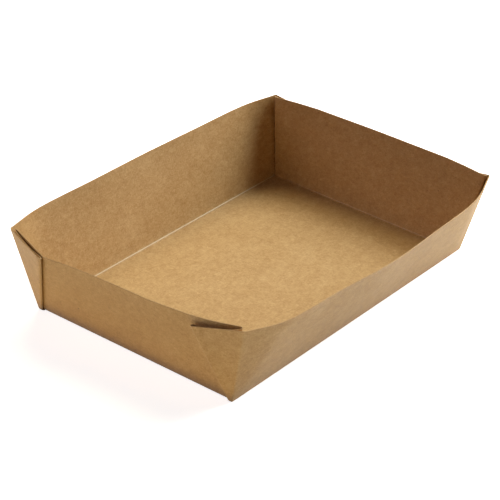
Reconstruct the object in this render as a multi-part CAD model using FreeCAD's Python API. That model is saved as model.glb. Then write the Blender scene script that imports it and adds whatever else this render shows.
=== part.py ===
# Paperboard tray folded from one sheet, with a folded web at each of its four corners.
# Lengths are in millimetres. The floor lies on z = 0 with its centre at the origin.
# The front and back walls run along X, the left and right walls along Y.
import FreeCAD
import Part

import os
from collections import namedtuple
from math import asin, cos, degrees, pi, sin, sqrt, tan

from FreeCAD import Vector

# The sheet and the floor that its walls fold up from.
SIZES = {
    "base_length": 179.4,
    "base_width": 111.3,
    "wall_slant": 43.0,
    "board": 0.45,
    "heel_radius": 0.7,
}

# Where the bends at the ends of a long wall stop, measured from the floor's corner.
SIZES.update({
    "rim_bend_span": 16.0,
    "base_bend_span": 3.0,
})

# The flap at a corner: a web of the sheet folded double and laid outside the end wall.
SIZES.update({
    "base_corner_round": 0.4,
    "base_corner_slit": 0.2,
})

# The signs of X and Y at each corner.
CORNERS = {
    "front_left": (-1, -1),
    "front_right": (1, -1),
    "back_right": (1, 1),
    "back_left": (-1, 1),
}

# What differs from corner to corner, as no two are folded alike. The flares are how far the
# rim leans out over the end wall and over the long wall. The flap reaches along the end wall,
# its fold drops below the rim, and the end wall bulges out behind it. The gaps lie between
# the layers, and the slit beside the turn of the inner layer at the corner.
CORNER_SIZES = {
    "end_flare": (7.3, 8.6, 5.1, 10.3),
    "side_flare": (8.3, 8.1, 6.9, 10.5),
    "rim_flap_reach": (18.4, 17.5, 17.5, 15.0),
    "base_flap_reach": (1.6, 3.0, 1.6, 1.6),
    "flap_drop": (3.9, 4.6, 4.6, 0.4),
    "wall_bulge": (0.7, 0.3, 0.3, 0.1),
    "rim_corner_round": (2.5, 1.4, 1.0, 1.5),
    "rim_corner_slit": (2.0, 0.4, 0.15, 1.2),
    "rim_layer_gap": (1.15, 0.65, 0.9, 0.65),
    "base_layer_gap": (0.2, 1.25, 0.2, 0.2),
}
for name, values in CORNER_SIZES.items():
    for corner, value in zip(CORNERS, values):
        SIZES[f"{corner}_{name}"] = value

# How far each wall's rim bows out past the floor's edge, at even steps along the wall:
# the long walls from left to right, the end walls from front to back.
WALL_REACHES = {
    "front": (14.4, 15.9, 17.9, 17.0, 15.2),
    "back": (16.5, 16.2, 16.3, 14.7, 12.9),
    "left": (11.6, 13.5, 14.0, 14.8, 16.5),
    "right": (9.8, 9.4, 9.1, 8.1, 6.9),
}
for name, reaches in WALL_REACHES.items():
    for number, reach in enumerate(reaches, start=1):
        SIZES[f"{name}_reach_{number}"] = reach

UP = Vector(0, 0, 1)
RIGHT = Vector(1, 0, 0)
BACK = Vector(0, 1, 0)
# The choice of Part.makeRuledSurface that keeps both of its edges as they run.
SAME_WAY = 1

# A place on the fold line of the sheet's middle: its point and direction at the floor and
# at the rim, and the way in which the heel under it tucks in.
Station = namedtuple("Station", "base rim base_way rim_way tuck")
# A stretch of wall between two stations, and the form of its rim.
Stretch = namedtuple("Stretch", "form stations")


def make_sheet(doc):
    """The driving dimensions, each in its own named cell."""
    sheet = doc.addObject("Spreadsheet::Sheet", "Sizes")
    for row, (alias, value) in enumerate(SIZES.items(), start=1):
        sheet.set(f"A{row}", alias)
        sheet.set(f"B{row}", str(value))
        sheet.setAlias(f"B{row}", alias)
    doc.recompute()
    return sheet


doc = FreeCAD.newDocument("CardboardTray")
sheet = make_sheet(doc)


def size(alias):
    return float(sheet.get(alias))


BOARD = size("board")
HALF_LENGTH = (size("base_length") - BOARD) / 2
HALF_WIDTH = (size("base_width") - BOARD) / 2


def unit(vector):
    return Vector(vector).normalize()


def turned(vector, angle):
    """The vector turned about Z by an angle in degrees."""
    return FreeCAD.Rotation(UP, angle).multVec(vector)


def rim_height(reach):
    """Height of a rim that has leaned out this far, on a wall of constant slant."""
    return sqrt(size("wall_slant") ** 2 - reach ** 2)


def curve_through(points, *end_ways):
    """A smooth curve through the points, with its end directions given or free."""
    curve = Part.BSplineCurve()
    if end_ways:
        curve.interpolate(Points=points, InitialTangent=end_ways[0], FinalTangent=end_ways[1])
    else:
        curve.interpolate(Points=points)
    return curve


def way_along(curve, point):
    return unit(curve.tangent(curve.parameter(point))[0])


def wall_points(wall, outward, along, half_run, half_depth, base_spans, rim_spans):
    """Points at the floor and at the rim of one wall, at even steps between its end bends."""
    count = len(WALL_REACHES[wall])
    base_start = base_spans[0] - half_run
    base_step = (2 * half_run - sum(base_spans)) / (count - 1)
    rim_start = rim_spans[0] - half_run
    rim_step = (2 * half_run - sum(rim_spans)) / (count - 1)
    base_points = []
    rim_points = []
    for number in range(count):
        reach = size(f"{wall}_reach_{number + 1}")
        base_run = along * (base_start + number * base_step)
        rim_run = along * (rim_start + number * rim_step)
        base_points.append(base_run + outward * half_depth)
        rim_points.append(rim_run + outward * (half_depth + reach) + UP * rim_height(reach))
    return base_points, rim_points


def rim_corner(corner):
    """The point of the rim where a long wall meets the outer layer of the flap."""
    sign_x, sign_y = CORNERS[corner]
    end_flare = size(f"{corner}_end_flare")
    side_flare = size(f"{corner}_side_flare")
    mean_flare = sqrt((end_flare ** 2 + side_flare ** 2) / 2)
    return Vector(sign_x * (HALF_LENGTH + end_flare), sign_y * (HALF_WIDTH + side_flare), rim_height(mean_flare))


def long_wall(wall, outward):
    """Stations of the front or back wall from left to right, without its corners."""
    corners = [rim_corner(f"{wall}_left"), rim_corner(f"{wall}_right")]
    base_spans = [size("base_bend_span")] * 2
    rim_spans = [size("rim_bend_span")] * 2
    base_points, rim_points = wall_points(wall, outward, RIGHT, HALF_LENGTH, HALF_WIDTH, base_spans, rim_spans)
    curve = curve_through([corners[0], *rim_points, corners[1]])
    stations = []
    for base, rim in zip(base_points, rim_points):
        stations.append(Station(base, rim, RIGHT, way_along(curve, rim), -outward))
    end_ways = (-way_along(curve, corners[0]), way_along(curve, corners[1]))
    return stations, end_ways


def end_wall(wall, outward):
    """Stations of the left or right wall from front to back, between the folds of its flaps."""
    base_spans = [size(f"{side}_{wall}_base_flap_reach") for side in ("front", "back")]
    rim_spans = [size(f"{side}_{wall}_rim_flap_reach") for side in ("front", "back")]
    base_points, rim_points = wall_points(wall, outward, BACK, HALF_WIDTH, HALF_LENGTH, base_spans, rim_spans)
    curve = curve_through(rim_points)
    stations = []
    for base, rim in zip(base_points, rim_points):
        stations.append(Station(base, rim, BACK, way_along(curve, rim), -outward))
    return stations


def corner_nodes(corner_point, arrive, seat, wall_end, hand, pitch, bend, slit):
    """Points and directions of the folded web at one level, from the long wall to the end wall.

    The sheet rounds the corner, runs out as the flap's outer layer, folds back as its inner
    layer and turns again, beside the slit at the corner, into the end wall.
    """
    stack = 2 * pitch
    chord = seat - corner_point
    flat_chord = Vector(chord.x, chord.y, 0)
    flat_run = sqrt(flat_chord.Length ** 2 - stack ** 2)
    flat_way = unit(turned(flat_chord, hand * degrees(asin(stack / flat_chord.Length))))
    inward = turned(flat_way, -hand * 90)
    flap = flat_way * flat_run + UP * chord.z
    leave = unit(flap)

    half_turn = arrive.getAngle(leave) / 2
    setback = bend * tan(half_turn)
    round_start = corner_point - arrive * setback
    round_end = corner_point + leave * setback
    round_middle = corner_point + unit(leave - arrive) * (bend / cos(half_turn) - bend)

    fold_start = corner_point + leave * (flap.Length - pitch / 2)
    fold_end = fold_start + inward * pitch
    fold_middle = fold_start + (leave + inward) * (pitch / 2)

    turn_setback = BOARD + slit + pitch / 2
    turn_start = corner_point + leave * turn_setback + inward * pitch
    wall_start = corner_point + inward * stack
    wall_way = unit(wall_end - wall_start)
    turn_end = wall_start + wall_way * turn_setback
    turn_middle = (turn_start + turn_end) / 2 - leave * (pitch / 2)

    return [
        (round_start, arrive),
        (round_middle, unit(round_end - round_start)),
        (round_end, leave),
        (fold_start, leave),
        (fold_middle, inward),
        (fold_end, -leave),
        (turn_start, -leave),
        (turn_middle, unit(turn_end - turn_start)),
        (turn_end, wall_way),
    ]


def corner_stretches(corner, arrive, wall_tip):
    """The folded web of one corner, and the end wall's stretch behind its flap."""
    sign_x, sign_y = CORNERS[corner]
    hand = sign_x * sign_y
    base_pitch = BOARD + size(f"{corner}_base_layer_gap")
    base_corner = Vector(sign_x * (HALF_LENGTH + 2 * base_pitch), sign_y * HALF_WIDTH, 0)
    base_nodes = corner_nodes(
        base_corner, RIGHT * sign_x, wall_tip.base, wall_tip.base, hand,
        base_pitch, size("base_corner_round"), size("base_corner_slit"))
    rim_pitch = BOARD + size(f"{corner}_rim_layer_gap")
    drop_share = size(f"{corner}_flap_drop") / wall_tip.rim.z
    rim_seat = wall_tip.rim + (wall_tip.base - wall_tip.rim) * drop_share
    rim_nodes = corner_nodes(
        rim_corner(corner), arrive, rim_seat, wall_tip.rim, hand,
        rim_pitch, size(f"{corner}_rim_corner_round"), size(f"{corner}_rim_corner_slit"))
    tuck = Vector(-sign_x, -sign_y, 0)
    nodes = []
    for (base, base_way), (rim, rim_way) in zip(base_nodes, rim_nodes):
        nodes.append(Station(base, rim, base_way, rim_way, tuck))
    start = nodes[-1]
    tip_way = unit(start.rim_way + wall_tip.rim_way * -sign_y)
    tip = Station(wall_tip.base, wall_tip.rim, BACK * -sign_y, tip_way, tuck)
    bulge = RIGHT * (sign_x * size(f"{corner}_wall_bulge"))
    middle = Station((start.base + tip.base) / 2, (start.rim + tip.rim) / 2 + bulge, tip.base_way, start.rim_way, tuck)
    stretches = [
        Stretch("arc", nodes[0:3]),
        Stretch("line", nodes[2:4]),
        Stretch("arc", nodes[3:6]),
        Stretch("line", nodes[5:7]),
        Stretch("arc", nodes[6:9]),
        Stretch("bow", [start, middle, tip]),
    ]
    return stretches


def reversed_stretches(stretches):
    """The same stretches walked the other way."""
    result = []
    for stretch in reversed(stretches):
        stations = []
        for station in reversed(stretch.stations):
            base_way = -station.base_way
            stations.append(station._replace(base_way=base_way, rim_way=-station.rim_way))
        result.append(Stretch(stretch.form, stations))
    return result


def side_stretches(wall, outward):
    """A long wall with both its corners, from the left end wall to the right one."""
    stations, end_ways = long_wall(wall, outward)
    left_wall = end_wall("left", -RIGHT)
    right_wall = end_wall("right", RIGHT)
    tip_index = 0 if wall == "front" else -1
    left_corner = corner_stretches(f"{wall}_left", end_ways[0], left_wall[tip_index])
    right_corner = corner_stretches(f"{wall}_right", end_ways[1], right_wall[tip_index])
    left_corner = reversed_stretches(left_corner)
    wall_stretches = [
        Stretch("curve", [left_corner[-1].stations[-1], stations[0]]),
        Stretch("curve", stations),
        Stretch("curve", [stations[-1], right_corner[0].stations[0]]),
    ]
    return left_corner + wall_stretches + right_corner


def ring_stretches():
    """The whole wall, once round the floor and counterclockwise from above."""
    front = side_stretches("front", -BACK)
    back = reversed_stretches(side_stretches("back", BACK))
    right = end_wall("right", RIGHT)
    left = end_wall("left", -RIGHT)
    right[0] = front[-1].stations[-1]
    right[-1] = back[0].stations[0]
    left_stretch = reversed_stretches([Stretch("bow", left)])[0]
    left_stretch.stations[0] = back[-1].stations[-1]
    left_stretch.stations[-1] = front[0].stations[0]
    return front + [Stretch("bow", right)] + back + [left_stretch]


def face_line(station, side):
    """The points at the floor and at the rim on one face of the sheet, side 1 being outside."""
    rise = station.rim - station.base
    base = station.base + unit(station.base_way.cross(rise)) * (side * BOARD / 2)
    rim = station.rim + unit(station.rim_way.cross(rise)) * (side * BOARD / 2)
    return base, rim


def point_at(station, side, height, tuck):
    """The point of one face of the sheet at a height, tucked in under the heel."""
    base, rim = face_line(station, side)
    share = (height - base.z) / (rim.z - base.z)
    point = base + (rim - base) * share + station.tuck * tuck
    return Vector(point.x, point.y, height)


def level_edge(stretch, side, height, tuck=0.0):
    """The edge of one face of a stretch at a height near the floor."""
    points = [point_at(station, side, height, tuck) for station in stretch.stations]
    if stretch.form == "arc":
        return Part.Arc(*points).toShape()
    return Part.makeLine(points[0], points[-1])


def rim_edge(stretch, side):
    """The edge of one face of a stretch along the rim."""
    points = [face_line(station, side)[1] for station in stretch.stations]
    if stretch.form == "arc":
        return Part.Arc(*points).toShape()
    if stretch.form == "line":
        return Part.makeLine(*points)
    if stretch.form == "bow":
        return curve_through(points).toShape()
    return curve_through(points, stretch.stations[0].rim_way, stretch.stations[-1].rim_way).toShape()


def ruled_face(low, high):
    """The face between two edges that run the same way."""
    return Part.makeRuledSurface(low, high, SAME_WAY)


def heel_steps():
    """Heights and tucks of the rounded heel, where the walls turn up from the floor."""
    radius = size("heel_radius")
    steps = []
    for angle in (0, pi / 4, pi / 2):
        steps.append((radius * (1 - cos(angle)), radius * (1 - sin(angle))))
    return steps


def folded_sheet():
    """The closed solid between the sheet's outside face, inside face and rim."""
    ring = ring_stretches()
    faces = []
    outside_loop = []
    inside_loop = []
    for stretch in ring:
        levels = [level_edge(stretch, 1, height, tuck) for height, tuck in heel_steps()]
        outside_loop.append(levels[0])
        levels.append(rim_edge(stretch, 1))
        for low, high in zip(levels[:-1], levels[1:]):
            faces.append(ruled_face(low, high))
        floor_edge = level_edge(stretch, -1, BOARD)
        inside_loop.append(floor_edge)
        inside_rim = rim_edge(stretch, -1)
        faces.append(ruled_face(floor_edge, inside_rim))
        faces.append(ruled_face(levels[-1], inside_rim))
    faces.append(Part.Face(Part.Wire(outside_loop)))
    faces.append(Part.Face(Part.Wire(inside_loop)))
    sewn = Part.makeCompound(faces)
    sewn.sewShape()
    solid = Part.makeSolid(Part.makeShell(sewn.Faces))
    if solid.Volume < 0:
        solid.reverse()
    return solid


def make_tray():
    tray = doc.addObject("Part::Feature", "FoldedTray")
    tray.Label = "folded_tray"
    tray.Shape = folded_sheet()
    tray.Placement = FreeCAD.Placement()
    return tray


def check(parts):
    """Every object must have recomputed, and every sub-part must hold a valid solid."""
    for item in doc.Objects:
        if "Invalid" in item.State or "Error" in item.State:
            raise RuntimeError(f"{item.Label} failed to recompute")
    for part in parts:
        if part.Shape.isNull() or not part.Shape.isValid():
            raise RuntimeError(f"{part.Label} has no valid shape")
        if len(part.Shape.Solids) != 1:
            raise RuntimeError(f"{part.Label} is not one solid")


parts = [make_tray()]
doc.recompute()
check(parts)
os.makedirs("parts", exist_ok=True)
for part in parts:
    part.Shape.exportStep(f"parts/{part.Label}.step")
    box = part.Shape.BoundBox
    print(part.Label, "volume", round(part.Shape.Volume, 1), "faces", len(part.Shape.Faces))
    print("extent", round(box.XLength, 2), round(box.YLength, 2), round(box.ZLength, 2))
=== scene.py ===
# %% [markdown]
# # An open tray folded from one sheet of kraft board
# The tray is one flat sheet of brown board, creased and folded. This lesson loads its packed
# model as a fixed frame, models the sheet again with the finer detail that a photograph
# shows, such as beads along the creases and softened cut edges, and gives it a board
# material that is made of nodes alone.

from collections import namedtuple
from math import cos, pi, radians, sin, sqrt

import bmesh
import bpy
from mathutils import Matrix, Quaternion, Vector
from mathutils.geometry import interpolate_bezier


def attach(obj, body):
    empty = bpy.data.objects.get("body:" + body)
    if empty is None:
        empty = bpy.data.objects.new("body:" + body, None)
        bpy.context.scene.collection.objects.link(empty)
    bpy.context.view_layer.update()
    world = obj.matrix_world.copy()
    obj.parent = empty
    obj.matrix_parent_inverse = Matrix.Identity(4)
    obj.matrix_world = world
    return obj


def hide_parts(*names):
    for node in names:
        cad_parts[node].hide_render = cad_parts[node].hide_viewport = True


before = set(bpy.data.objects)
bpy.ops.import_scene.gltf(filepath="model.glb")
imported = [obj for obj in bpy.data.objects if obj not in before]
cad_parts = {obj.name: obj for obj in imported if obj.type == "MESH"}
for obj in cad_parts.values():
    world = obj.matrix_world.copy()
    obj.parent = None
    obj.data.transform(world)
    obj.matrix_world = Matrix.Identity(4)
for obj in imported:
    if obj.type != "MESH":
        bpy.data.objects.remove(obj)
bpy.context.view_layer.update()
scene = bpy.context.scene
scene.view_settings.view_transform = "Standard"
print("nodes:", sorted(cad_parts))

# %% [markdown]
# ## The camera
# A product photograph of such a tray is taken from a little way off with a long lens, so
# that its sides hardly converge. The camera stands at the front left, looks down at the
# tray by about thirty degrees and is rolled by four. A camera's matrix holds the
# directions of its own axes, so its place and its three directions are written into it.

# %% The camera
SENSOR = 36.0
FRAME_SHARE = 4.326
EYE = Vector((-0.72564, -0.49954, 0.51932))
EYE_RIGHT = Vector((0.6021, -0.7952, 0.0711))
EYE_UP = Vector((0.3597, 0.3497, 0.8651))
EYE_BACK = Vector((-0.7128, -0.4953, 0.4966))

bpy.ops.object.camera_add()
camera = bpy.context.object
camera.data.sensor_width = SENSOR
camera.data.lens = SENSOR * FRAME_SHARE
camera.data.clip_start = 0.01
axes = Matrix((EYE_RIGHT, EYE_UP, EYE_BACK)).transposed()
camera.matrix_world = Matrix.Translation(EYE) @ axes.to_4x4()
scene.camera = camera
print("lens:", round(camera.data.lens, 1), "mm")

# %% [markdown]
# ## The sizes of the sheet
# These are the sizes of the solid model, in millimetres. The floor is a rectangle. Each
# wall has the same slant height, and its rim leans out by a reach that changes along it,
# so that every wall bows in its own way. At each corner a web of the sheet is folded
# double and laid outside the end wall, as a flap.

# %% The sizes
MM = 0.001
FLOOR_LENGTH = 179.4
FLOOR_WIDTH = 111.3
WALL_SLANT = 43.0
BOARD = 0.45
HEEL_RADIUS = 0.7
RIM_BEND_SPAN = 16.0
BASE_BEND_SPAN = 3.0
BASE_ROUND = 0.4
BASE_SLIT = 0.2
HALF_LENGTH = (FLOOR_LENGTH - BOARD) / 2
HALF_WIDTH = (FLOOR_WIDTH - BOARD) / 2

Corner = namedtuple(
    "Corner",
    "side_x side_y end_flare side_flare rim_reach base_reach drop bulge round slit gap base_gap")
CORNERS = {
    "front_left": Corner(-1, -1, 7.3, 8.3, 18.4, 1.6, 3.9, 0.7, 2.5, 2.0, 1.15, 0.2),
    "front_right": Corner(1, -1, 8.6, 8.1, 17.5, 3.0, 4.6, 0.3, 1.4, 0.4, 0.65, 1.25),
    "back_right": Corner(1, 1, 5.1, 6.9, 17.5, 1.6, 4.6, 0.3, 1.0, 0.15, 0.9, 0.2),
    "back_left": Corner(-1, 1, 10.3, 10.5, 15.0, 1.6, 0.4, 0.1, 1.5, 1.2, 0.65, 0.2),
}
REACHES = {
    "front": (14.4, 15.9, 17.9, 17.0, 15.2),
    "back": (16.5, 16.2, 16.3, 14.7, 12.9),
    "left": (11.6, 13.5, 14.0, 14.8, 16.5),
    "right": (9.8, 9.4, 9.1, 8.1, 6.9),
}
UP = Vector((0, 0, 1))
RIGHT = Vector((1, 0, 0))
BACK = Vector((0, 1, 0))


def rim_height(reach):
    """The height of a rim that leans out this far."""
    return sqrt(WALL_SLANT ** 2 - reach ** 2)


reaches = [reach for wall in REACHES.values() for reach in wall]
heights = rim_height(max(reaches)), rim_height(min(reaches))
print("rim from", round(heights[0], 1), "to", round(heights[1], 1), "mm high")

# %% [markdown]
# ## Lines along the floor and along the rim
# A folded wall is a ruled surface: straight from the floor to the rim, and curved only
# along its length. So the whole shape follows from two lines that run round the tray, one
# at the floor and one at the rim. A station is one point of each. It also says how strongly
# the sheet is creased there, how pale a fold is painted, partly as a painted highlight, and
# which way its heel tucks in under the tray.
# The helpers below make the three forms of line that the sheet needs: straight runs, round
# folds and smooth bows.

# %% Stations, runs, folds and bows
Station = namedtuple("Station", "base rim fold pad tuck")
RUN_STEPS = 8
FOLD_STEPS = 6
BOW_STEPS = 8


def run_line(start, end, steps):
    """Points on a straight run, without its last one."""
    return [start.lerp(end, step / steps) for step in range(steps)]


def fold_line(start, middle, end, steps):
    """Points on the circular arc through three points, without its last one."""
    a = start - end
    b = middle - end
    normal = a.cross(b)
    offset = (b * a.length_squared - a * b.length_squared).cross(normal)
    centre = end + offset / (2 * normal.length_squared)
    arm = start - centre
    angle = arm.angle(end - centre)
    axis = (middle - start).cross(end - middle).normalized()
    return [centre + Quaternion(axis, angle * step / steps) @ arm for step in range(steps)]


def bow_line(points, steps):
    """Points on a smooth curve through the given ones, without its last one."""
    line = []
    for number in range(len(points) - 1):
        start, end = points[number:number + 2]
        before = points[number - 1] if number else start - (end - start)
        after = points[number + 2] if number + 2 < len(points) else end + (end - start)
        handles = start + (end - before) / 6, end - (after - start) / 6
        line += interpolate_bezier(start, *handles, end, steps + 1)[:-1]
    return line


# %% [markdown]
# ## One corner's web
# At a corner the sheet rounds from the long wall into the flap's outer layer, folds back as
# its inner layer, and turns again, beside a narrow slit, into the end wall. The same steps
# are taken at the floor, where the layers lie close, and at the rim, where they stand apart.

# %% The web at a corner
def turned(vector, angle):
    """The vector turned about the vertical, by an angle in radians."""
    return Quaternion(UP, angle) @ vector


def web_points(point, arrive, seat, wall_end, hand, pitch, bend, slit):
    """The points of a web at one level, from the long wall to the end wall."""
    stack = 2 * pitch
    chord = seat - point
    flat_chord = Vector((chord.x, chord.y, 0))
    lean = Vector((stack, sqrt(flat_chord.length_squared - stack ** 2))).angle(Vector((0, 1)))
    flat_way = turned(flat_chord, hand * lean).normalized()
    inward = turned(flat_way, -hand * pi / 2)
    flap = flat_way * sqrt(flat_chord.length_squared - stack ** 2) + UP * chord.z
    leave = flap.normalized()
    half_turn = arrive.angle(leave) / 2
    setback = bend * sin(half_turn) / cos(half_turn)
    deepest = (leave - arrive).normalized() * (bend / cos(half_turn) - bend)
    fold_start = point + leave * (flap.length - pitch / 2)
    turn_setback = BOARD + slit + pitch / 2
    turn_start = point + leave * turn_setback + inward * pitch
    wall_start = point + inward * stack
    turn_end = wall_start + (wall_end - wall_start).normalized() * turn_setback
    return [
        point - arrive * setback,
        point + deepest,
        point + leave * setback,
        fold_start,
        fold_start + (leave + inward) * (pitch / 2),
        fold_start + inward * pitch,
        turn_start,
        (turn_start + turn_end) / 2 - leave * (pitch / 2),
        turn_end,
    ]


def rim_corner(corner):
    """The point of the rim where the long wall and the flap meet."""
    flare = sqrt((corner.end_flare ** 2 + corner.side_flare ** 2) / 2)
    return Vector((
        corner.side_x * (HALF_LENGTH + corner.end_flare),
        corner.side_y * (HALF_WIDTH + corner.side_flare),
        rim_height(flare)))


near_corner = rim_corner(CORNERS["front_left"])
print("front left corner of the rim:", [round(value, 1) for value in near_corner])

# %% [markdown]
# ## Walls between the corners
# Each wall is set out by five stations at even steps. The rim is a smooth bow through them,
# and the floor line under it is straight.

# %% The walls
def wall_points(wall, outward, along, half_run, half_depth, base_spans, rim_spans):
    """The five points of a wall at the floor, and the five at its rim."""
    last = len(REACHES[wall]) - 1
    base_points = []
    rim_points = []
    for number, reach in enumerate(REACHES[wall]):
        base_step = (2 * half_run - sum(base_spans)) / last
        rim_step = (2 * half_run - sum(rim_spans)) / last
        base_run = along * (base_spans[0] - half_run + number * base_step)
        rim_run = along * (rim_spans[0] - half_run + number * rim_step)
        base_points.append(base_run + outward * half_depth)
        rim_points.append(rim_run + outward * (half_depth + reach) + UP * rim_height(reach))
    return base_points, rim_points


def end_wall_points(wall, outward):
    """The points of an end wall, which stops at the flaps' folds."""
    corners = [CORNERS[f"{side}_{wall}"] for side in ("front", "back")]
    base_spans = [corner.base_reach for corner in corners]
    rim_spans = [corner.rim_reach for corner in corners]
    return wall_points(wall, outward, BACK, HALF_WIDTH, HALF_LENGTH, base_spans, rim_spans)


def long_wall_points(wall, outward):
    """The points of a long wall, with the two corners of its rim."""
    spans = [BASE_BEND_SPAN] * 2, [RIM_BEND_SPAN] * 2
    base_points, rim_points = wall_points(
        wall, outward, RIGHT, HALF_LENGTH, HALF_WIDTH, *spans)
    ends = [rim_corner(CORNERS[f"{wall}_{side}"]) for side in ("left", "right")]
    return base_points, [ends[0], *rim_points, ends[1]]


# %% [markdown]
# ## The stations of a corner
# Going round the floor counterclockwise, each corner's web joins the wall before it to the
# wall after it. A web is written from the long wall to the end wall, so at two of the four
# corners it is walked backwards. The web's inner layer sags a little between its folds, so
# that its rim sinks into the slot. A fold is painted paler along its middle, some folds more
# than others: partly for its stretched fibres, and partly as a painted highlight where the
# rounded fold catches the light.

# %% The stations of a corner
INNER_SAG = 1.2
# How much paler each fold is painted: stretched fibres, and a painted highlight.
CORNER_PALE_AND_HIGHLIGHT = 0.15
FLAP_FOLD_PALE_AND_HIGHLIGHT = 0.5
SLIT_FOLD_PALE_AND_HIGHLIGHT = 0.2


def corner_stations(name, arrive, tip_base, tip_rim):
    """Stations from the long wall, round the web, to the flap's fold on the end wall."""
    corner = CORNERS[name]
    hand = corner.side_x * corner.side_y
    base_pitch = BOARD + corner.base_gap
    base_corner = Vector((
        corner.side_x * (HALF_LENGTH + 2 * base_pitch), corner.side_y * HALF_WIDTH, 0))
    base = web_points(
        base_corner, RIGHT * corner.side_x, tip_base, tip_base, hand,
        base_pitch, BASE_ROUND, BASE_SLIT)
    seat = tip_rim + (tip_base - tip_rim) * (corner.drop / tip_rim.z)
    rim = web_points(
        rim_corner(corner), arrive, seat, tip_rim, hand,
        BOARD + corner.gap, corner.round, corner.slit)
    tuck = Vector((-corner.side_x, -corner.side_y, 0))
    inner_base = run_line(base[5], base[6], RUN_STEPS)
    inner_rim = run_line(rim[5], rim[6], RUN_STEPS)
    for step in range(RUN_STEPS):
        down = (inner_base[step] - inner_rim[step]).normalized()
        inner_rim[step] += down * (INNER_SAG * sin(pi * step / RUN_STEPS))
    bulge = (rim[8] + tip_rim) / 2 + RIGHT * (corner.side_x * corner.bulge)
    behind_base = run_line(base[8], tip_base, 2 * RUN_STEPS)
    behind_rim = bow_line([rim[8], bulge, tip_rim], RUN_STEPS)
    parts = [
        (fold_line(*base[0:3], FOLD_STEPS), fold_line(*rim[0:3], FOLD_STEPS), CORNER_PALE_AND_HIGHLIGHT),
        (run_line(*base[2:4], RUN_STEPS), run_line(*rim[2:4], RUN_STEPS), 0.0),
        (fold_line(*base[3:6], FOLD_STEPS), fold_line(*rim[3:6], FOLD_STEPS), FLAP_FOLD_PALE_AND_HIGHLIGHT),
        (inner_base, inner_rim, 0.0),
        (fold_line(*base[6:9], FOLD_STEPS), fold_line(*rim[6:9], FOLD_STEPS), SLIT_FOLD_PALE_AND_HIGHLIGHT),
        (behind_base, behind_rim, 0.0),
    ]
    stations = []
    for base_line, rim_line, pale in parts:
        for step, (base_point, rim_point) in enumerate(zip(base_line, rim_line)):
            fold = pale * sin(pi * step / len(base_line)) ** 2
            stations.append(Station(base_point, rim_point, fold, 0.0, tuck))
    stations.append(Station(tip_base, tip_rim, 0.0, 0.0, tuck))
    return stations


tip_points = [points[0] for points in end_wall_points("left", -RIGHT)]
front_web = corner_stations("front_left", -RIGHT, *tip_points)
print("stations in one web:", len(front_web))

# %% [markdown]
# ## The walls between the webs
# The floor line and the rim of a wall are cut into the same number of steps, and each pair
# of points is a station. The crease's bead fades out before the wall meets a web, and it is
# weaker on the end walls than on the long ones. Its paler colour, which is partly a painted
# highlight, fades and weakens with it, so that it stays dim on the far end wall in its shade.

# %% The ring of stations
LONG_BEAD = 1.0
END_BEAD = 0.5


def joined_runs(points):
    """Points on straight runs from each given point to the next one."""
    return [point for pair in zip(points, points[1:]) for point in run_line(*pair, BOW_STEPS)]


def wall_stations(base_line, rim_line, outward, bead):
    """Stations of a wall, whose crease fades out towards its ends."""
    result = []
    last = len(base_line)
    for number in range(1, last):
        pad = bead * min(1.0, number / BOW_STEPS, (last - number) / BOW_STEPS)
        result.append(Station(base_line[number], rim_line[number], 0.0, pad, -outward))
    return result


def side_stations(wall, outward):
    """A long wall with both its webs, from the left end wall to the right one."""
    base_points, rim_points = long_wall_points(wall, outward)
    rim_line = bow_line(rim_points, BOW_STEPS)
    tips = []
    for end, way in (("left", -RIGHT), ("right", RIGHT)):
        end_base, end_rim = end_wall_points(end, way)
        place = 0 if wall == "front" else -1
        tips.append((end_base[place], end_rim[place]))
    leave_left = (rim_line[0] - rim_line[1]).normalized()
    leave_right = (rim_points[-1] - rim_line[-1]).normalized()
    left = corner_stations(f"{wall}_left", leave_left, *tips[0])
    right = corner_stations(f"{wall}_right", leave_right, *tips[1])
    left.reverse()
    base_line = joined_runs([left[-1].base, *base_points, right[0].base])
    rim_line = bow_line([left[-1].rim, *rim_points[1:-1], right[0].rim], BOW_STEPS)
    return left + wall_stations(base_line, rim_line, outward, LONG_BEAD) + right


def end_stations(wall, outward):
    """An end wall between the flaps' folds, from front to back."""
    base_points, rim_points = end_wall_points(wall, outward)
    rim_line = bow_line(rim_points, BOW_STEPS)
    return wall_stations(joined_runs(base_points), rim_line, outward, END_BEAD)


def ring_stations():
    """All stations once round the tray, with the back and the left end walked backwards."""
    front = side_stations("front", -BACK)
    back = side_stations("back", BACK)
    back.reverse()
    right = end_stations("right", RIGHT)
    left = end_stations("left", -RIGHT)
    left.reverse()
    return front + right + back + left


stations = ring_stations()
print("stations round the tray:", len(stations))

# %% [markdown]
# ## From stations to rows
# The sheet has an outside skin, a cut edge at the rim and an inside skin. Each is made of
# rows that run round the tray, and a row's point at a station lies half the board's
# thickness to one side of the line from floor to rim. The direction to that side is square
# to the row and to that line.

# %% Points on a skin
count = len(stations)


def side_ways(points):
    """For each station, the direction square to this line and to the rise of the wall."""
    ways = []
    for number, station in enumerate(stations):
        along = points[(number + 1) % count] - points[number - 1]
        ways.append(along.cross(station.rim - station.base).normalized())
    return ways


base_ways = side_ways([station.base for station in stations])
rim_ways = side_ways([station.rim for station in stations])


def share_row(side, share):
    """The row of a skin at a share of the way from the floor to the rim."""
    row = []
    for station, base_way, rim_way in zip(stations, base_ways, rim_ways):
        base = station.base + base_way * (side * BOARD / 2)
        rim = station.rim + rim_way * (side * BOARD / 2)
        row.append(base.lerp(rim, share))
    return row


def level_row(side, height, tuck, padded=False):
    """The row of a skin at one height, tucked in under the tray."""
    row = []
    for number, (base, rim) in enumerate(zip(share_row(side, 0), share_row(side, 1))):
        station = stations[number]
        point = base.lerp(rim, (height - base.z) / (rim.z - base.z))
        point += station.tuck * (tuck * station.pad if padded else tuck)
        point.z = height
        row.append(point)
    return row


print("outside row at half height starts at", [round(value, 1) for value in share_row(1, 0.5)[0]])
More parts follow.
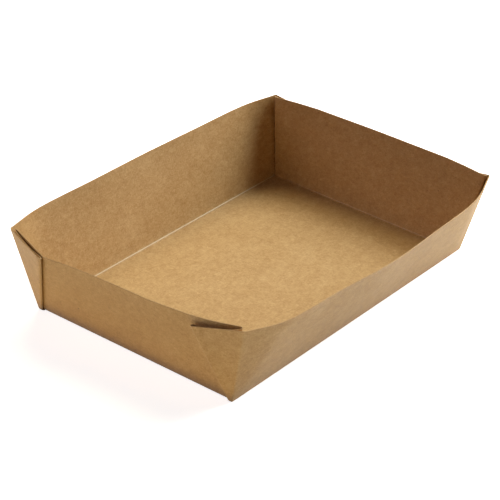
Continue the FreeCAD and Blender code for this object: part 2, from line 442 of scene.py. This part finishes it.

# %% [markdown]
# ## The rows of the sheet
# From the underside the rows go round the pressed heel, up the outside, over the cut edge,
# down the inside and over the crease to the floor. Pressing a crease into board pushes up a
# narrow bead on the inside of the fold. It catches the light, so it gets rows of its own.
# BEAD gives each of them its way in from the wall and its height over the floor, and a
# pair of ways in marks the stretch of it that is painted paler: partly for its stretched
# fibres, and partly as a painted highlight on top of the light that the bead catches. The
# heel's fold takes some of the same pale colour.

# %% The rows
Row = namedtuple("Row", "points crease cut")
HEEL_ANGLES = (0, 22.5, 45, 67.5, 90)
SHARES = (0.06, 0.14, 0.26, 0.4, 0.55, 0.7, 0.85, 0.95)
EDGE_SOFTNESS = 0.07
# The heel's fold gets some of the pale crease colour, which is partly a painted highlight.
HEEL_PALE = 0.6
BEAD = (
    (0, 0.7), (0.05, 0.6), (0.22, 0.56), (0.4, 0.44),
    (0.5, 0.26), (0.56, 0.08), (0.6, 0), (1.1, 0))
# Where the bead is painted paler, partly as a painted highlight.
BEAD_PALE_AND_HIGHLIGHT = (0.1, 0.5)


def sheet_rows():
    """The rows from the underside, round the sheet, to the floor inside."""
    rows = []
    for angle in HEEL_ANGLES:
        height = HEEL_RADIUS * (1 - cos(radians(angle)))
        tuck = HEEL_RADIUS * (1 - sin(radians(angle)))
        rows.append(Row(level_row(1, height, tuck), HEEL_PALE * sin(radians(2 * angle)), 0.0))
    edge_share = 1 - EDGE_SOFTNESS / WALL_SLANT
    edge_side = 1 - 2 * EDGE_SOFTNESS / BOARD
    for share in (*SHARES, edge_share):
        rows.append(Row(share_row(1, share), 0.0, 0.0))
    rows.append(Row(share_row(edge_side, 1), 0.0, 1.0))
    rows.append(Row(share_row(-edge_side, 1), 0.0, 1.0))
    for share in (edge_share, *reversed(SHARES)):
        rows.append(Row(share_row(-1, share), 0.0, 0.0))
    for tuck, height in BEAD:
        crease = 1.0 if BEAD_PALE_AND_HIGHLIGHT[0] < tuck < BEAD_PALE_AND_HIGHLIGHT[1] else 0.0
        rows.append(Row(level_row(-1, BOARD + height, tuck, padded=True), crease, 0.0))
    return rows


rows = sheet_rows()
print("rows:", len(rows))

# %% [markdown]
# ## Drawing the sheet
# A circle with one vertex for each station is the start. Its vertices are laid on the first
# row, and every further row is made by extruding the whole ring of edges and laying the new
# vertices on their row. A number stored on each vertex tells its station, and an extruded
# vertex keeps the number of the one it came from. Two more values go along for the
# material: how pale the board is painted along its creases and folds, which is partly a
# painted highlight, and whether it is a cut edge.

# %% Draw it
MERGE_DISTANCE = 0.002
SMOOTH_ANGLE = 35


def lay(mesh, row):
    """Move the selected ring of vertices onto a row."""
    edit = bmesh.from_edit_mesh(mesh)
    number = edit.verts.layers.int["station"]
    crease = edit.verts.layers.float["crease"]
    cut = edit.verts.layers.float["cut"]
    for vertex in edit.verts:
        if vertex.select:
            station = vertex[number]
            vertex.co = row.points[station] * MM
            vertex[crease] = max(row.crease * stations[station].pad, stations[station].fold)
            vertex[cut] = row.cut
    bmesh.update_edit_mesh(mesh)


bpy.ops.object.select_all(action="DESELECT")
bpy.ops.mesh.primitive_circle_add(vertices=count, radius=0.1)
sheet = bpy.context.object
sheet.name = "folded_sheet"
mesh = sheet.data
mesh.attributes.new("station", "INT", "POINT").data.foreach_set("value", range(count))
for name in ("crease", "cut"):
    mesh.attributes.new(name, "FLOAT", "POINT")
bpy.ops.object.mode_set(mode="EDIT")
bpy.ops.mesh.select_all(action="SELECT")
lay(mesh, rows[0])
bpy.ops.mesh.edge_face_add()
for row in rows[1:]:
    bpy.ops.mesh.extrude_edges_move()
    lay(mesh, row)
bpy.ops.mesh.edge_face_add()
bpy.ops.mesh.select_all(action="SELECT")
bpy.ops.mesh.remove_doubles(threshold=MERGE_DISTANCE * MM)
bpy.ops.mesh.normals_make_consistent(inside=False)
bpy.ops.object.mode_set(mode="OBJECT")
bpy.ops.object.shade_smooth_by_angle(angle=radians(SMOOTH_ANGLE))
print("sheet:", len(mesh.vertices), "vertices,", len(mesh.polygons), "faces")

# %% [markdown]
# ## Kraft board
# Kraft board is pressed from brown wood fibres that were never bleached. Close up its colour
# is not even: short fibres lie across each other, the pulp clouds a little over a few
# centimetres, and dark bark specks are left in it. It is smooth but not glossy. All of this
# is made by noise textures at the real scale, read in Object coordinates, so that the
# pattern is true to size. A few small helpers add a node and link or set its sockets. A Mix
# node has sockets for numbers, vectors and colours, and the ones named here mix colours.

# %% Node helpers
MIX_INPUTS = (0, 6, 7)
MIX_OUTPUT = 2


def feed(tree, socket, value):
    """Link another node's output to a socket, or set the socket to a plain value."""
    if isinstance(value, bpy.types.NodeSocket):
        tree.links.new(value, socket)
    else:
        socket.default_value = value


def add_node(tree, kind, settings=None, **sockets):
    """A new node, with its settings and the values or links of its sockets."""
    node = tree.nodes.new(kind)
    for name, value in (settings or {}).items():
        setattr(node, name, value)
    for name, value in sockets.items():
        feed(tree, node.inputs[name.replace("_", " ")], value)
    return node


def mixed(tree, factor, first, second):
    """The colour of a mix of two colours."""
    node = add_node(tree, "ShaderNodeMix", {"data_type": "RGBA"})
    for number, value in zip(MIX_INPUTS, (factor, first, second)):
        feed(tree, node.inputs[number], value)
    return node.outputs[MIX_OUTPUT]


def calculated(tree, operation, *values):
    """The result of a Math node."""
    node = add_node(tree, "ShaderNodeMath", {"operation": operation})
    for socket, value in zip(node.inputs, values):
        feed(tree, socket, value)
    return node.outputs[0]


kraft = bpy.data.materials.new("kraft_board")
kraft.use_nodes = True
tree = kraft.node_tree
shader = tree.nodes["Principled BSDF"]
place = add_node(tree, "ShaderNodeTexCoord").outputs["Object"]
print("material:", kraft.name)

# %% [markdown]
# ### Fibres and clouds
# Two noise patterns, each stretched along one direction of the floor, cross like fibres of
# about a millimetre. A finer one adds grain, and two broader ones add mottling and clouds.
# Their weighted sum runs through a colour ramp from a darker, redder brown to a pale straw.

# %% Fibres, grain and clouds
MIDDLE_TONE = 0.5
KRAFT_COLOURS = (
    (0.2, (0.36, 0.195, 0.062, 1)),
    (0.5, (0.5, 0.31, 0.125, 1)),
    (0.8, (0.64, 0.435, 0.215, 1)))


def noise(scale, stretch=(1, 1, 1), detail=2.0, roughness=0.6, distortion=0.0):
    """A noise pattern with features of about one over scale metres, centred on zero."""
    mapping = add_node(tree, "ShaderNodeMapping", Vector=place, Scale=stretch)
    texture = add_node(
        tree, "ShaderNodeTexNoise", Vector=mapping.outputs[0], Scale=scale, Detail=detail,
        Roughness=roughness, Distortion=distortion)
    return calculated(tree, "SUBTRACT", texture.outputs["Fac"], 0.5)


fibres_along = noise(800, stretch=(0.5, 1, 1), distortion=1.0)
fibres_across = noise(860, stretch=(1, 0.5, 1), distortion=1.0)
fibres = calculated(tree, "ADD", fibres_along, fibres_across)
grain = noise(1500, roughness=0.7)
mottle = noise(240, stretch=(0.7, 1, 1), detail=3.0, distortion=0.5)
clouds = noise(45)
tone = MIDDLE_TONE
for pattern, weight in ((fibres, 0.42), (grain, 0.4), (mottle, 0.3), (clouds, 0.2)):
    tone = calculated(tree, "MULTIPLY_ADD", pattern, weight, tone)

ramp = add_node(tree, "ShaderNodeValToRGB", Fac=tone)
stops = ramp.color_ramp.elements
while len(stops) < len(KRAFT_COLOURS):
    stops.new(1.0)
for stop, (position, colour) in zip(stops, KRAFT_COLOURS):
    stop.position = position
    stop.color = colour
board_colour = ramp.outputs["Color"]
print("colour stops:", [round(stop.position, 2) for stop in stops])

# %% [markdown]
# ### Specks, creases and cut edges
# A cell pattern gives each small patch of board a chance to hold a bark speck. Where the
# board is creased its fibres are stretched and look paler, and that pale colour is brightened
# further into a painted highlight along the beads and folds, where they catch the light. A cut
# edge shows the ends of the fibres, and is a little darker and redder. Both are read from the
# values that were stored on the sheet's vertices. The same noise makes a shallow relief and an
# uneven gloss.

# %% Specks, creases and cut edges
SPECK_CELLS = 190.0
SPECK_SIZE = 0.07
SPECK_CHANCE = 0.05
SPECK_STRENGTH = 0.6
SPECK_COLOUR = (0.10, 0.055, 0.025, 1)
# Crease colour: paler stretched board, brightened into a painted highlight.
CREASE_PALE_AND_HIGHLIGHT_STRENGTH = 0.6
CREASE_PALE_AND_HIGHLIGHT_COLOUR = (0.78, 0.66, 0.44, 1)
CUT_STRENGTH = 0.5
CUT_COLOUR = (0.45, 0.27, 0.11, 1)
GRAIN_RELIEF = 0.5
MOTTLE_RELIEF = 1.2
RELIEF_STRENGTH = 0.45
RELIEF_DEPTH = 0.12 * MM
ROUGHNESS = 0.55
ROUGHNESS_CHANGE = 0.25
SHINE = 0.25

cells = add_node(tree, "ShaderNodeTexVoronoi", Vector=place, Scale=SPECK_CELLS)
middle = calculated(tree, "LESS_THAN", cells.outputs["Distance"], SPECK_SIZE)
chance = add_node(tree, "ShaderNodeSeparateColor", Color=cells.outputs["Color"])
chosen = calculated(tree, "LESS_THAN", chance.outputs["Red"], SPECK_CHANCE)
speck = calculated(tree, "MULTIPLY", chosen, middle)
speck_share = calculated(tree, "MULTIPLY", speck, SPECK_STRENGTH)
crease = add_node(tree, "ShaderNodeAttribute", {"attribute_name": "crease"}).outputs["Fac"]
cut = add_node(tree, "ShaderNodeAttribute", {"attribute_name": "cut"}).outputs["Fac"]
crease_pale_and_highlight_share = calculated(tree, "MULTIPLY", crease, CREASE_PALE_AND_HIGHLIGHT_STRENGTH)
cut_share = calculated(tree, "MULTIPLY", cut, CUT_STRENGTH)
colour = mixed(tree, speck_share, board_colour, SPECK_COLOUR)
# Paler board along the creases, with a painted highlight on the beads and folds.
colour = mixed(tree, crease_pale_and_highlight_share, colour, CREASE_PALE_AND_HIGHLIGHT_COLOUR)
colour = mixed(tree, cut_share, colour, CUT_COLOUR)
tree.links.new(colour, shader.inputs["Base Color"])

relief = calculated(tree, "MULTIPLY_ADD", grain, GRAIN_RELIEF, fibres)
relief = calculated(tree, "MULTIPLY_ADD", mottle, MOTTLE_RELIEF, relief)
bump = add_node(
    tree, "ShaderNodeBump", Height=relief, Strength=RELIEF_STRENGTH, Distance=RELIEF_DEPTH)
tree.links.new(bump.outputs["Normal"], shader.inputs["Normal"])
roughness = calculated(tree, "MULTIPLY_ADD", fibres, ROUGHNESS_CHANGE, ROUGHNESS)
tree.links.new(roughness, shader.inputs["Roughness"])
shader.inputs["Specular IOR Level"].default_value = SHINE
sheet.data.materials.append(kraft)
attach(sheet, "root")
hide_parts("folded_tray")
print("sheet has material", sheet.data.materials[0].name)

# %% [markdown]
# ## The studio
# The tray stands on white paper. The floor is a little off white and keeps the tray's soft
# shadow. Only in the camera and in reflections does it also shine a little, so that it
# closes to white.

# %% The floor
PAPER_SIZE = 6
PAPER_COLOUR = (0.88, 0.88, 0.88, 1)
PAPER_GLOW = 0.8


def shown_rays(tree):
    """One for rays that show the surroundings, and zero for rays that only light things."""
    ray = add_node(tree, "ShaderNodeLightPath")
    shown = calculated(tree, "MAXIMUM", ray.outputs["Is Camera Ray"], ray.outputs["Is Glossy Ray"])
    return calculated(tree, "MAXIMUM", shown, ray.outputs["Is Transmission Ray"])


bpy.ops.mesh.primitive_plane_add(size=PAPER_SIZE)
floor = bpy.context.object
floor.name = "studio_floor"
paper = bpy.data.materials.new("white_paper")
paper.use_nodes = True
tree = paper.node_tree
tree.nodes.clear()
plain = add_node(tree, "ShaderNodeBsdfDiffuse", Color=PAPER_COLOUR)
glow = add_node(tree, "ShaderNodeEmission", Strength=PAPER_GLOW)
both = add_node(tree, "ShaderNodeAddShader")
tree.links.new(plain.outputs[0], both.inputs[0])
tree.links.new(glow.outputs[0], both.inputs[1])
seen = add_node(tree, "ShaderNodeMixShader", Fac=shown_rays(tree))
tree.links.new(plain.outputs[0], seen.inputs[1])
tree.links.new(both.outputs[0], seen.inputs[2])
add_node(tree, "ShaderNodeOutputMaterial", Surface=seen.outputs[0])
floor.data.materials.append(paper)

# %% [markdown]
# The surroundings are white for the rays that show them and dark for all others, so the
# light comes from five soft lamps. The main one hangs high off the far end and leaves the
# inside of the far wall in its own shade, where only light from the brown floor reaches it.
# The others soften the long walls, the near end and the ground beside it.

# %% The surroundings
world = bpy.data.worlds.new("studio")
scene.world = world
world.use_nodes = True
tree = world.node_tree
dark = tree.nodes["Background"]
dark.inputs["Color"].default_value = (1, 1, 1, 1)
dark.inputs["Strength"].default_value = 0.0
white = add_node(tree, "ShaderNodeBackground", Color=(1, 1, 1, 1), Strength=1.0)
surround = add_node(tree, "ShaderNodeMixShader", Fac=shown_rays(tree))
tree.links.new(dark.outputs[0], surround.inputs[1])
tree.links.new(white.outputs[0], surround.inputs[2])
tree.links.new(surround.outputs[0], tree.nodes["World Output"].inputs["Surface"])
print("surroundings:", world.name)

# %% The lights
def area_light(name, place, aim, size, power, colour):
    """A soft light of this size, at a place and aimed at a point."""
    bpy.ops.object.light_add(type="AREA", location=place)
    lamp = bpy.context.object
    lamp.name = name
    lamp.data.shape = "RECTANGLE"
    lamp.data.size, lamp.data.size_y = size
    lamp.data.energy = power
    lamp.data.color = colour
    lamp.rotation_euler = (Vector(aim) - Vector(place)).to_track_quat("-Z", "Y").to_euler()
    lamp.visible_camera = False


area_light("main_light", (0.9, -0.28, 0.95), (0, 0, 0), (0.7, 0.5), 15.5, (0.92, 0.98, 1.0))
area_light("back_light", (0.5, 0.6, 1.1), (0, 0, 0), (0.5, 0.5), 7.5, (1.0, 0.88, 0.6))
area_light("side_light", (0.9, -0.5, 0.4), (0, 0, 0), (0.5, 0.4), 5.4, (1.0, 0.88, 0.78))
area_light("left_light", (-0.75, 0.5, 0.45), (0, 0, 0), (0.6, 0.5), 1.85, (1.0, 0.84, 0.97))
area_light(
    "ground_glow", (-0.1225, 0, 0.001), (-0.1225, 0.0001, 1), (0.055, 0.4), 0.036,
    (1.0, 0.72, 0.2))
